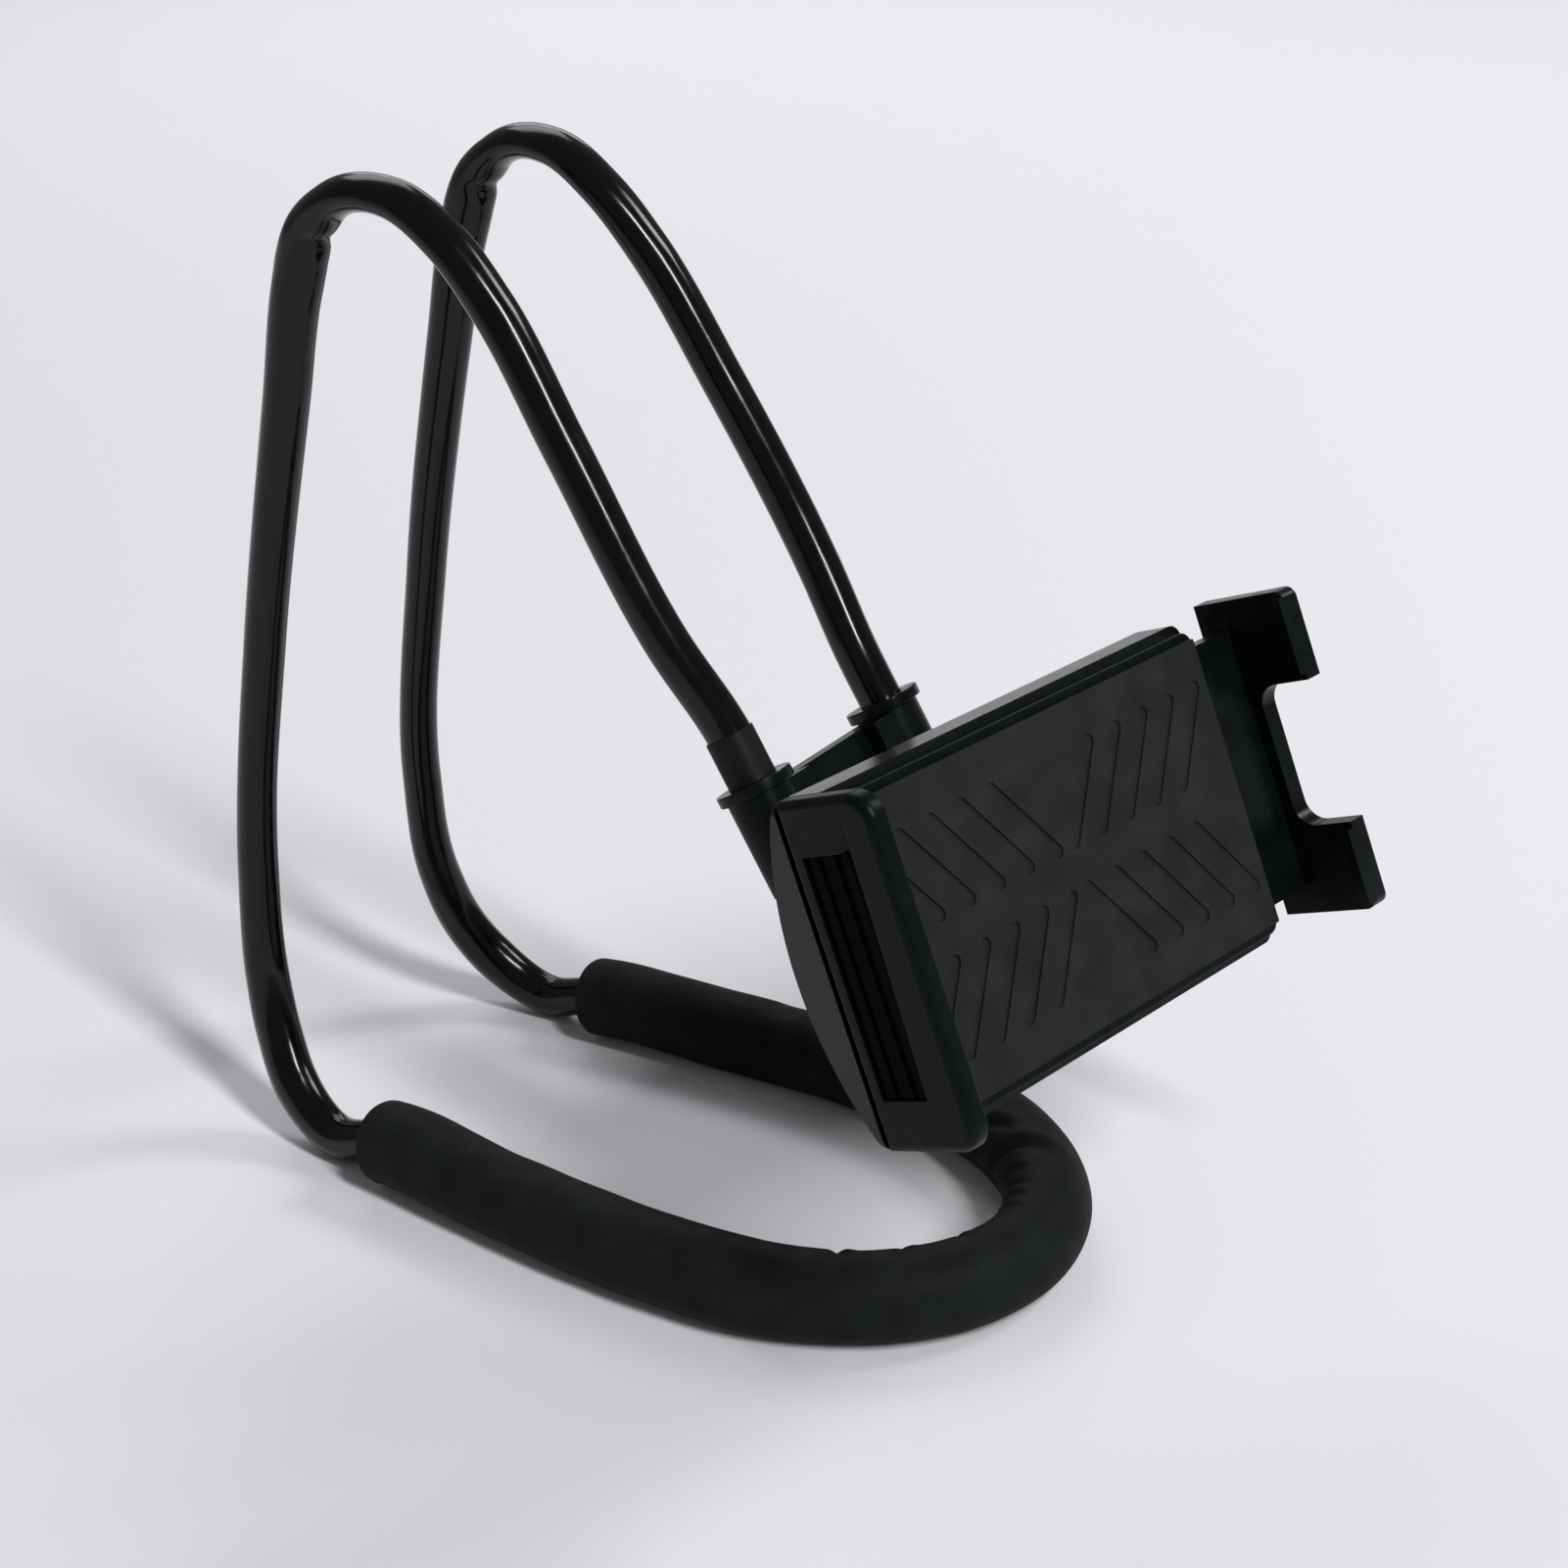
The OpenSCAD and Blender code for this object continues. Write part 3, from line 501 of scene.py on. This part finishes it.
    def at(self, run: np.ndarray) -> tuple[np.ndarray, np.ndarray]:
        """Centre points and headings at given lengths from the closed end.

        Args:
            run: lengths in millimetres, negative towards the left arm.

        Returns:
            The centre points and the unit headings.
        """
        centre = np.stack([np.interp(run, self.run, self.centres[:, k]) for k in range(3)], axis=1)
        along = np.stack([np.interp(run, self.run, self.along[:, k]) for k in range(3)], axis=1)
        return centre, unit(along)


@dataclass
class Gooseneck:
    """The glossy sheath, drawn tight over the wire, swollen at the heels and nipped at the top."""

    route: Route
    sides: int = 56
    rings: int = 1300
    bore: float = 3.1
    bore_step: int = 8
    # Length from the closed end, size in the plane of the bend, size across it
    form_shares: tuple = (
        (0, 1.0, 1.0), (186, 1.0, 1.0), (203, 1.14, 1.05), (217, 1.3, 1.1), (238, 1.22, 1.06),
        (262, 1.06, 1.0), (300, 0.97, 0.97), (345, 1.02, 0.98), (385, 1.08, 1.0), (415, 1.16, 1.0),
        (437, 1.26, 0.98), (447, 1.08, 1.04), (455, 0.84, 1.14), (470, 0.8, 1.16), (486, 0.86, 1.1),
        (510, 0.98, 1.02), (560, 1.0, 1.0), (650, 1.0, 1.0),
    )
    kink_run: float = 447.0
    kink_depth: float = 0.8
    kink_width: float = 2.2
    kink_swell: float = 0.2
    kink_skew: float = 2.0
    swell_before: float = 5.5
    swell_width: float = 3.2
    bend_in: tuple[float, float, float] = (0.0, -0.75, -0.66)
    lump: float = 0.12
    lump_lengths: tuple[float, float] = (11.0, 23.0)
    bent_from: tuple[float, float] = (430.0, 450.0)
    bent_until: tuple[float, float] = (500.0, 530.0)
    straight_lump: float = 0.35

    def build(self) -> bpy.types.Object:
        """Sweeps the sheath: c(s) + r(s, a) (cos a X + sin a Y), X and Y carried along the route.

        Returns:
            The sheath piece.
        """
        start, end = self.route.run[0], self.route.run[-1]
        run = np.linspace(start, end, self.rings)
        centre, along = self.route.at(run)
        across, up = self._carried(along)
        turn = np.linspace(0.0, 2 * np.pi, self.sides, endpoint=False)
        radius = self._radius(run, turn, along, across, up)
        outer = self._ring(centre, across, up, radius, turn)
        thin = slice(None, None, self.bore_step)
        bore = np.full((len(run[thin]), self.sides), self.bore)
        inner = self._ring(centre[thin], across[thin], up[thin], bore, turn)
        skin = Surface()
        skin.add_grid(np.concatenate([outer, inner[::-1]]), wrap_rows=True, wrap_cols=True)
        piece = skin.piece("sheath_skin", SHEATH_PVC)
        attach(piece, "frame")
        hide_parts("tube_sheath")
        return piece

    def _ring(self, centre: np.ndarray, across: np.ndarray, up: np.ndarray, radius: np.ndarray,
              turn: np.ndarray) -> np.ndarray:
        """Rings c + r (cos a X + sin a Y).

        Args:
            centre: ring centres.
            across: X directions.
            up: Y directions.
            radius: radii of shape (rings, sides).
            turn: the angles a.

        Returns:
            Points of shape (rings, sides, 3).
        """
        way = np.cos(turn)[None, :, None] * across[:, None] + np.sin(turn)[None, :, None] * up[:, None]
        return centre[:, None] + radius[:, :, None] * way

    def _carried(self, along: np.ndarray) -> tuple[np.ndarray, np.ndarray]:
        """Directions carried along the route without twist, n' = n - (n . t) t at each ring.

        Args:
            along: unit headings.

        Returns:
            The X and Y directions of each ring.
        """
        across = np.empty_like(along)
        now = np.array([1.0, 0.0, 0.0])
        for k, heading in enumerate(along):
            now = now - now.dot(heading) * heading
            now = now / np.linalg.norm(now)
            across[k] = now
        return across, np.cross(along, across)

    def _radius(self, run: np.ndarray, turn: np.ndarray, along: np.ndarray, across: np.ndarray,
                up: np.ndarray) -> np.ndarray:
        """Ellipse 1 / sqrt((cos b / A)^2 + (sin b / B)^2) with lumps, and the kink's fold.

        Args:
            run: lengths from the closed end.
            turn: ring angles.
            along: headings.
            across: X directions.
            up: Y directions.

        Returns:
            Radii of shape (rings, sides).
        """
        keys = np.array(self.form_shares)
        in_plane = np.interp(np.abs(run), keys[:, 0], keys[:, 1]) * self.route.tube_r
        side_way = np.interp(np.abs(run), keys[:, 0], keys[:, 2]) * self.route.tube_r
        side = np.array([1.0, 0.0, 0.0]) - along[:, :1] * along
        side = side / np.maximum(np.linalg.norm(side, axis=1, keepdims=True), 1e-6)
        offset = np.arctan2((side * up).sum(1), (side * across).sum(1))
        angle = turn[None, :] - offset[:, None]
        radius = 1.0 / np.sqrt((np.cos(angle) / side_way[:, None]) ** 2
                               + (np.sin(angle) / in_plane[:, None]) ** 2)
        short, long = self.lump_lengths
        lumps = (np.sin(run[:, None] / short + 1.3 * np.sin(angle)) * 0.5
                 + np.sin(run[:, None] / long + angle * 2.0) * 0.5)
        bent = (smooth_step(np.abs(run), *self.bent_from)
                * (1 - smooth_step(np.abs(run), *self.bent_until)))
        radius = radius + self.lump * lumps * (self.straight_lump + bent[:, None])
        bend_in = np.array(self.bend_in)
        inward = unit(bend_in - (along * bend_in).sum(1, keepdims=True) * along)
        facing = (np.cos(turn)[None, :] * (across * inward).sum(1)[:, None]
                  + np.sin(turn)[None, :] * (up * inward).sum(1)[:, None])
        reach = np.abs(run)[:, None] - self.kink_run
        fold = (bell(reach + self.kink_skew * (1 - facing), self.kink_width)
                * smooth_step(facing, 0.0, 0.7))
        swell = bell(reach + self.swell_before, self.swell_width) * smooth_step(facing, 0.2, 0.9)
        return radius - self.kink_depth * fold + self.kink_swell * swell


@dataclass
class Crease:
    """A fold pressed into the foam, from one place to another."""

    run: float
    angle: float
    end_run: float
    end_angle: float
    depth: float
    width: float
    sag: float = 0.0


@dataclass
class FoamPadding:
    """The soft sleeve round the neck loop, flat where it rests on the floor."""

    route: Route
    sides: int = 120
    rings: int = 640
    half_length: float = 181.25
    end_round: float = 1.6
    bore: float = 5.15
    floor: float = 0.02
    wave: float = 0.12
    wave_lengths: tuple[float, float, float] = (17.0, 7.3, 3.1)
    wave_shares: tuple[float, float, float] = (1.0, 0.6, 0.35)
    lip_height: float = 0.35
    lip_offset: float = 1.7
    lip_width: float = 1.1
    fade_in: tuple[float, float] = (-0.15, 0.25)
    fade_out: tuple[float, float] = (0.75, 1.15)
    bore_rings: int = 90
    end_steps: tuple = (0.0, 0.35, 0.7, 0.9, 1.0)
    creases: tuple = (
        Crease(-147, 52, -124, 112, 0.55, 3.2, 5.0),
        Crease(-50, 150, -46, 98, 0.9, 1.3),
        Crease(-36, 170, -30, 105, 0.6, 1.2),
        Crease(-18, 185, -16, 110, 0.6, 1.1),
        Crease(39, 175, 26, 66, 1.7, 1.7, 1.5),
        Crease(56, 165, 40, 108, 1.2, 1.5, 1.0),
        Crease(31, 180, 20, 118, 0.7, 1.1),
        Crease(22, 185, 13, 112, 0.55, 1.0),
        Crease(14, 180, 7, 105, 0.5, 1.0),
        Crease(7, 178, 1, 95, 0.45, 0.9),
        Crease(47, 190, 50, 140, 0.7, 1.2),
        Crease(118, 100, 127, 66, 0.6, 3.5),
    )

    def build(self) -> bpy.types.Object:
        """Sweeps the foam on level rings, c(s) + r(s, a) (cos a O + sin a Z), closed by its bore.

        Returns:
            The padded piece.
        """
        run = np.linspace(-self.half_length, self.half_length, self.rings)
        turn = np.linspace(0.0, 2 * np.pi, self.sides, endpoint=False)
        outer = self._rings(run, self._radius(run, turn), turn)
        end_face = self.route.foam_r - self.end_round - self.bore
        radii = self.bore + end_face * (1 - np.array(self.end_steps))
        end_radii = np.repeat(radii[:, None], self.sides, 1)
        end_run = np.full(len(radii), self.half_length)
        close_right = self._rings(end_run, end_radii, turn)
        close_left = self._rings(-end_run, end_radii[::-1], turn)
        inside = np.linspace(self.half_length, -self.half_length, self.bore_rings)[1:-1]
        inner = self._rings(inside, np.full((len(inside), self.sides), self.bore), turn)
        skin = Surface()
        rings = np.concatenate([outer, close_right, inner, close_left])
        skin.add_grid(rings, wrap_rows=True, wrap_cols=True)
        piece = skin.piece("foam_padding", FOAM_SKIN)
        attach(piece, "frame")
        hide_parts("foam_sleeve")
        return piece

    def _rings(self, run: np.ndarray, radius: np.ndarray, turn: np.ndarray) -> np.ndarray:
        """Level rings about the route, held above the floor.

        Args:
            run: lengths from the closed end.
            radius: radii of shape (rings, sides).
            turn: ring angles, 0 outwards and a quarter turn upwards.

        Returns:
            Points of shape (rings, sides, 3).
        """
        centre, along = self.route.at(run)
        level = unit(np.cross(along, [0.0, 0.0, 1.0]))
        up = np.cross(level, along)
        way = np.cos(turn)[None, :, None] * level[:, None] + np.sin(turn)[None, :, None] * up[:, None]
        points = centre[:, None] + radius[:, :, None] * way
        points[:, :, 2] = np.maximum(points[:, :, 2], self.floor)
        return points

    def _radius(self, run: np.ndarray, turn: np.ndarray) -> np.ndarray:
        """Foam radius with soft waves, folds and round ends.

        The ends fall by e (1 - sqrt(1 - u^2)), u being how far a ring is into the last e.

        Args:
            run: lengths from the closed end.
            turn: ring angles.

        Returns:
            Radii of shape (rings, sides).
        """
        s, a = run[:, None], turn[None, :]
        radius = np.full((len(run), len(turn)), self.route.foam_r)
        slow, middle, quick = self.wave_lengths
        waves = (np.sin(s / slow + np.cos(a)), np.sin(s / middle + 2 * a), np.sin(s / quick - 3 * a))
        radius = radius + self.wave * sum(share * wave for share, wave in zip(self.wave_shares, waves))
        degrees = np.degrees(a)
        for crease in self.creases:
            radius = radius - self._pressed(crease, s, degrees)
        into = np.clip((np.abs(s) - (self.half_length - self.end_round)) / self.end_round, 0.0, 1.0)
        return radius - self.end_round * (1 - np.sqrt(1 - into ** 2))

    def _pressed(self, crease: Crease, run: np.ndarray, degrees: np.ndarray) -> np.ndarray:
        """Depth d exp(-(q / w)^2) across the fold, faded at its ends, with a lip on one side.

        Args:
            crease: the fold.
            run: lengths from the closed end, as a column.
            degrees: ring angles in degrees, as a row.

        Returns:
            How far the surface is pressed in.
        """
        arc = self.route.foam_r * np.radians(degrees - crease.angle)
        span = np.array([crease.end_run - crease.run,
                         self.route.foam_r * math.radians(crease.end_angle - crease.angle)])
        size = float(np.linalg.norm(span))
        way = span / size
        ahead = ((run - crease.run) * way[0] + arc * way[1]) / size
        aside = (run - crease.run) * -way[1] + arc * way[0] + crease.sag * 4 * (ahead - 0.5) ** 2
        fade = smooth_step(ahead, *self.fade_in) * (1 - smooth_step(ahead, *self.fade_out))
        lip = self.lip_height * bell(aside - self.lip_offset * crease.width, self.lip_width * crease.width)
        return crease.depth * fade * (bell(aside, crease.width) - lip)


@dataclass
class Assembly:
    """Mouldings that are fitted together."""

    mouldings: tuple[Moulding, ...] = ()

    def build(self) -> list[bpy.types.Object]:
        """Dresses the mouldings one after the other."""
        return [moulding.build() for moulding in self.mouldings]


@dataclass
class Bridge(Assembly):
    """The two sockets, the web between them and what screws into it."""

    mouldings: tuple[Moulding, ...] = (
        Moulding("bridge_body", "frame", SATIN_ABS, 0.5),
        Moulding("bridge_cover", "frame", SATIN_ABS, 0.3),
        Moulding("socket_collars", "frame", GLOSS_ABS, 0.6),
        Moulding("end_sleeve", "frame", SLEEVE_RUBBER, 0.1),
        Moulding("bridge_screws", "frame", BLACK_STEEL, 0.2),
        Moulding("stud_screw", "frame", BLACK_STEEL, 0.2),
        Moulding("wire_ferrules", "frame", BRASS, 0.1),
    )


@dataclass
class BallJoint(Assembly):
    """The ball stud, its nylon cap, the split seat and the lock nut."""

    mouldings: tuple[Moulding, ...] = (
        Moulding("ball_stud", "frame", POLISHED_STEEL, 0.15),
        Moulding("ball_liner", "liner", NYLON, 0.1),
        Moulding("seat_cup", "seat", SATIN_ABS, 0.2),
        Moulding("seat_ring", "seat", SATIN_ABS, 0.2),
        Moulding("lock_nut", "lock_nut", SATIN_ABS, 0.4),
    )


@dataclass
class Cradle(Assembly):
    """The bowed shell, the cover with its fixed jaw, the pad and the small pieces on them."""

    mouldings: tuple[Moulding, ...] = (
        Moulding("back_shell", "cradle", SHELL_ABS, 0.6, 4),
        Moulding("front_cover", "cradle", SATIN_ABS, 0.6, 4, border=2.2,
                 border_side=(-0.985, 0.174, 0.0)),
        Moulding("grip_pad", "cradle", PAD_RUBBER, 0.15),
        Moulding("slot_insert", "cradle", GLOSS_RUBBER, 0.1),
        Moulding("fixed_jaw_pad", "cradle", GRIP_RUBBER, 0.3),
        Moulding("slide_spring", "cradle", POLISHED_STEEL, 0.05),
        Moulding("cover_screws", "cradle", BLACK_STEEL, 0.2),
    )


@dataclass
class SlidingJaw(Assembly):
    """The jaw with two feet and its tongue, and the pads in the feet."""

    mouldings: tuple[Moulding, ...] = (
        Moulding("sliding_jaw", "jaw", GLOSS_ABS, 0.6, 4),
        Moulding("upper_foot_pad", "jaw", GRIP_RUBBER, 0.2),
        Moulding("lower_foot_pad", "jaw", GRIP_RUBBER, 0.2),
    )


@dataclass
class PhotoCamera:
    """The camera, at the photograph's angle and distance, with its place in millimetres."""

    azimuth: float = -53.257
    elevation: float = 25.041
    roll: float = -3.343
    place: tuple[float, float, float] = (-439.68, -267.90, 368.28)
    focal_pixels: float = 2788.1
    sensor: float = 36.0
    near: float = 0.01

    def build(self) -> bpy.types.Object:
        """Makes the camera and gives it to the scene.

        The back vector is (sin a cos e, -cos a cos e, sin e), and the roll turns right and up.

        Returns:
            The camera.
        """
        turn, rise, roll = (math.radians(v) for v in (self.azimuth, self.elevation, self.roll))
        back = np.array([math.sin(turn) * math.cos(rise), -math.cos(turn) * math.cos(rise), math.sin(rise)])
        right = unit(np.cross(-back, [0.0, 0.0, 1.0]))
        up = np.cross(right, -back)
        rolled_right = math.cos(roll) * right + math.sin(roll) * up
        rolled_up = -math.sin(roll) * right + math.cos(roll) * up
        data = bpy.data.cameras.new("photo_camera")
        data.sensor_width = self.sensor
        data.sensor_fit = "HORIZONTAL"
        data.lens = self.focal_pixels / IMAGE_SIDE * self.sensor
        data.clip_start = self.near
        camera = bpy.data.objects.new("photo_camera", data)
        camera.matrix_world = placed(rolled_right, rolled_up, back, np.array(self.place) * MM)
        bpy.context.scene.collection.objects.link(camera)
        bpy.context.scene.camera = camera
        return camera


@dataclass
class SoftBox:
    """A rectangular studio lamp, with its place and its sizes in metres."""

    name: str
    place: tuple[float, float, float]
    aim: tuple[float, float, float]
    width: float
    height: float
    power: float

    def build(self) -> bpy.types.Object:
        """Makes the lamp, turned so that it shines from its place to its aim.

        Returns:
            The lamp.
        """
        data = bpy.data.lights.new(self.name, "AREA")
        data.shape = "RECTANGLE"
        data.size, data.size_y = self.width, self.height
        data.energy = self.power
        lamp = bpy.data.objects.new(self.name, data)
        shine = unit(np.array(self.aim) - np.array(self.place))
        right = unit(np.cross(shine, [0.0, 0.0, 1.0]))
        up = np.cross(right, shine)
        lamp.matrix_world = placed(right, up, -shine, np.array(self.place))
        lamp.visible_camera = False
        bpy.context.scene.collection.objects.link(lamp)
        return lamp


@dataclass
class Studio:
    """A wide pale floor, soft lamps and a dim room."""

    floor_colour: tuple[float, float, float] = (0.80, 0.80, 0.83)
    floor_roughness: float = 0.9
    floor_specular: float = 0.1
    room_colour: tuple[float, float, float] = (0.83, 0.83, 0.87)
    room_level: float = 0.22
    half_width: float = 12.0
    lamps: tuple = (
        SoftBox("key", (-0.77, -2.77, 3.07), (0.0, 0.1, 0.1), 0.5, 1.8, 128.0),
        SoftBox("side", (1.86, -1.2, 2.07), (0.0, 0.1, 0.1), 0.82, 0.82, 25.0),
        SoftBox("rim", (2.2, 1.7, 1.1), (0.1, 0.1, 0.1), 1.4, 0.6, 5.0),
        SoftBox("backdrop", (1.3, 1.5, 1.7), (1.2, 1.4, 0.0), 1.4, 1.4, 13.0),
    )

    def build(self) -> None:
        """Makes the floor, the lamps and the room's light."""
        self._floor()
        for lamp in self.lamps:
            lamp.build()
        world = bpy.data.worlds.new("room")
        world.use_nodes = True
        back = world.node_tree.nodes["Background"]
        back.inputs["Color"].default_value = (*self.room_colour, 1.0)
        back.inputs["Strength"].default_value = self.room_level
        bpy.context.scene.world = world
        bpy.context.scene.view_settings.view_transform = "Standard"

    def _floor(self) -> None:
        """Adds the flat floor at height 0, which the object stands on."""
        side = self.half_width
        mesh = bpy.data.meshes.new("studio_floor")
        corners = [(-side, -side, 0.0), (side, -side, 0.0), (side, side, 0.0), (-side, side, 0.0)]
        mesh.from_pydata(corners, [], [(0, 1, 2, 3)])
        made = bpy.data.materials.new("paper_floor")
        made.use_nodes = True
        shader = made.node_tree.nodes["Principled BSDF"]
        shader.inputs["Base Color"].default_value = (*self.floor_colour, 1.0)
        shader.inputs["Roughness"].default_value = self.floor_roughness
        shader.inputs["Specular IOR Level"].default_value = self.floor_specular
        mesh.materials.append(made)
        floor = bpy.data.objects.new("studio_floor", mesh)
        bpy.context.scene.collection.objects.link(floor)


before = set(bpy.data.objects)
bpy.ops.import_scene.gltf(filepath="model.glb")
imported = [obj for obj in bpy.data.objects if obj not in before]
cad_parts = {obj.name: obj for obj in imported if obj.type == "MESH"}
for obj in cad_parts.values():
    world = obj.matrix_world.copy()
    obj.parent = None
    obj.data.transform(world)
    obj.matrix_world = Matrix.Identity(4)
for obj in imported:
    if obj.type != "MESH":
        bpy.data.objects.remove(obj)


def main() -> None:
    """Builds the camera, the studio and every sub-assembly in order."""
    logging.basicConfig(level=logging.INFO, format="%(name)s: %(message)s")
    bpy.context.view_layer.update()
    PhotoCamera().build()
    Studio().build()
    route = Route()
    LOG.info("route %.1f mm long", route.run[-1] - route.run[0])
    pieces = [Gooseneck(route).build(), FoamPadding(route).build()]
    for assembly in (Bridge(), BallJoint(), Cradle(), SlidingJaw()):
        pieces += assembly.build()
    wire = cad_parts["core_wire"]
    wire.data.materials.clear()
    wire.data.materials.append(BARE_ALUMINIUM.material())
    for piece in pieces:
        LOG.info("%s: %d faces", piece.name, len(piece.data.polygons))


if __name__ == "__main__":
    main()
